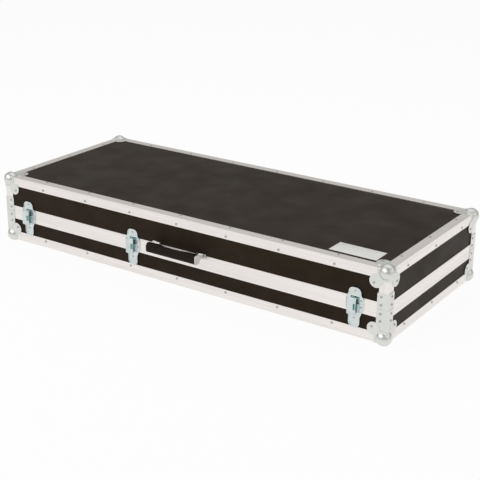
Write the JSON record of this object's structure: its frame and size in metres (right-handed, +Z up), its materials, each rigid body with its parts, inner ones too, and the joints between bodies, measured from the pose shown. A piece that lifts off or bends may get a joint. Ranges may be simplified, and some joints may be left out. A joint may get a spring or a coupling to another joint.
{
  "type": "keyboard flight case",
  "caption": "Wide flat flight case for a stage keyboard: aluminium-edged ply shells, ball corners, hinged lid, butterfly latches and a front handle.",
  "frame": {"origin": "bottom centre of the whole object, on the ground under its lower ball corners", "axes": "+X along the case's length, -Y the front with latches and handle, +Z up"},
  "size_m": [1.4778, 0.6538, 0.246],
  "materials": {
    "panel": "phenolic film on birch ply",
    "aluminium": "mill finish, satin",
    "corner_steel": "bright zinc",
    "latch_steel": "blue zinc",
    "hinge_steel": "bright zinc",
    "handle_steel": "nickel plated",
    "grip": "moulded, matt",
    "foam": "open cell foam"
  },
  "bodies": {
    "base": {"base_bottom_panel": "panel", "base_front_panel": "panel", "base_back_panel": "panel", "base_left_panel": "panel", "base_right_panel": "panel", "base_front_edge": "aluminium", "base_back_edge": "aluminium", "base_left_edge": "aluminium", "base_right_edge": "aluminium", "base_front_rim": "aluminium", "base_back_rim": "aluminium", "base_left_rim": "aluminium", "base_right_rim": "aluminium", "base_corner_posts": "aluminium", "base_corner_braces": "corner_steel", "base_ball_corners": "corner_steel", "base_floor_pad": "foam", "base_side_pads": "foam", "base_hinge_leaves": "hinge_steel", "hinge_pins": "hinge_steel", "latch_left_body": "latch_steel", "latch_middle_body": "latch_steel", "latch_right_body": "latch_steel"},
    "lid": {"lid_top_panel": "panel", "lid_front_panel": "panel", "lid_back_panel": "panel", "lid_left_panel": "panel", "lid_right_panel": "panel", "lid_front_edge": "aluminium", "lid_back_edge": "aluminium", "lid_left_edge": "aluminium", "lid_right_edge": "aluminium", "lid_front_rim": "aluminium", "lid_back_rim": "aluminium", "lid_left_rim": "aluminium", "lid_right_rim": "aluminium", "lid_corner_posts": "aluminium", "lid_corner_braces": "corner_steel", "lid_ball_corners": "corner_steel", "lid_top_pad": "foam", "lid_side_pads": "foam", "lid_hinge_leaves": "hinge_steel", "handle_plates": "handle_steel", "latch_left_keeper": "latch_steel", "latch_middle_keeper": "latch_steel", "latch_right_keeper": "latch_steel"},
    "handle": {"handle_grip": "grip", "handle_loops": "handle_steel"},
    "left_hook": {"latch_left_hook": "latch_steel"},
    "left_spindle": {"latch_left_spindle": "latch_steel"},
    "left_wing": {"latch_left_wing": "latch_steel"},
    "middle_hook": {"latch_middle_hook": "latch_steel"},
    "middle_spindle": {"latch_middle_spindle": "latch_steel"},
    "middle_wing": {"latch_middle_wing": "latch_steel"},
    "right_hook": {"latch_right_hook": "latch_steel"},
    "right_spindle": {"latch_right_spindle": "latch_steel"},
    "right_wing": {"latch_right_wing": "latch_steel"}
  },
  "joints": [
    {"name": "lid_hinge", "type": "hinge", "parent": "base", "child": "lid", "pos_m": [0, 0.321, 0.114], "axis": [-1, 0, 0], "range_deg": [0, 105]},
    {"name": "handle_swing", "type": "hinge", "parent": "lid", "child": "handle", "pos_m": [0, -0.287, 0.131], "axis": [1, 0, 0], "range_deg": [-65, 65]},
    {"name": "left_latch_turn", "type": "hinge", "parent": "base", "child": "left_spindle", "pos_m": [-0.626, -0.28, 0.106], "axis": [0, -1, 0], "range_deg": [0, 180]},
    {"name": "left_wing_fold", "type": "hinge", "parent": "left_spindle", "child": "left_wing", "pos_m": [-0.62, -0.2915, 0.106], "axis": [0, 0, 1], "range_deg": [0, 90]},
    {"name": "left_hook_slide", "type": "slide", "parent": "base", "child": "left_hook", "axis": [0, 0, 1], "range_m": [0, 0.006]},
    {"name": "middle_latch_turn", "type": "hinge", "parent": "base", "child": "middle_spindle", "pos_m": [-0.173, -0.28, 0.106], "axis": [0, -1, 0], "range_deg": [0, 180]},
    {"name": "middle_wing_fold", "type": "hinge", "parent": "middle_spindle", "child": "middle_wing", "pos_m": [-0.167, -0.2915, 0.106], "axis": [0, 0, 1], "range_deg": [0, 90]},
    {"name": "middle_hook_slide", "type": "slide", "parent": "base", "child": "middle_hook", "axis": [0, 0, 1], "range_m": [0, 0.006]},
    {"name": "right_latch_turn", "type": "hinge", "parent": "base", "child": "right_spindle", "pos_m": [0.626, -0.28, 0.106], "axis": [0, -1, 0], "range_deg": [0, 180]},
    {"name": "right_wing_fold", "type": "hinge", "parent": "right_spindle", "child": "right_wing", "pos_m": [0.632, -0.2915, 0.106], "axis": [0, 0, 1], "range_deg": [0, 90]},
    {"name": "right_hook_slide", "type": "slide", "parent": "base", "child": "right_hook", "axis": [0, 0, 1], "range_m": [0, 0.006]}
  ],
  "couplings": [
    {"joint": "left_hook_slide", "follows": "left_latch_turn", "m_per_rad": 0.0019},
    {"joint": "middle_hook_slide", "follows": "middle_latch_turn", "m_per_rad": 0.0019},
    {"joint": "right_hook_slide", "follows": "right_latch_turn", "m_per_rad": 0.0019}
  ]
}
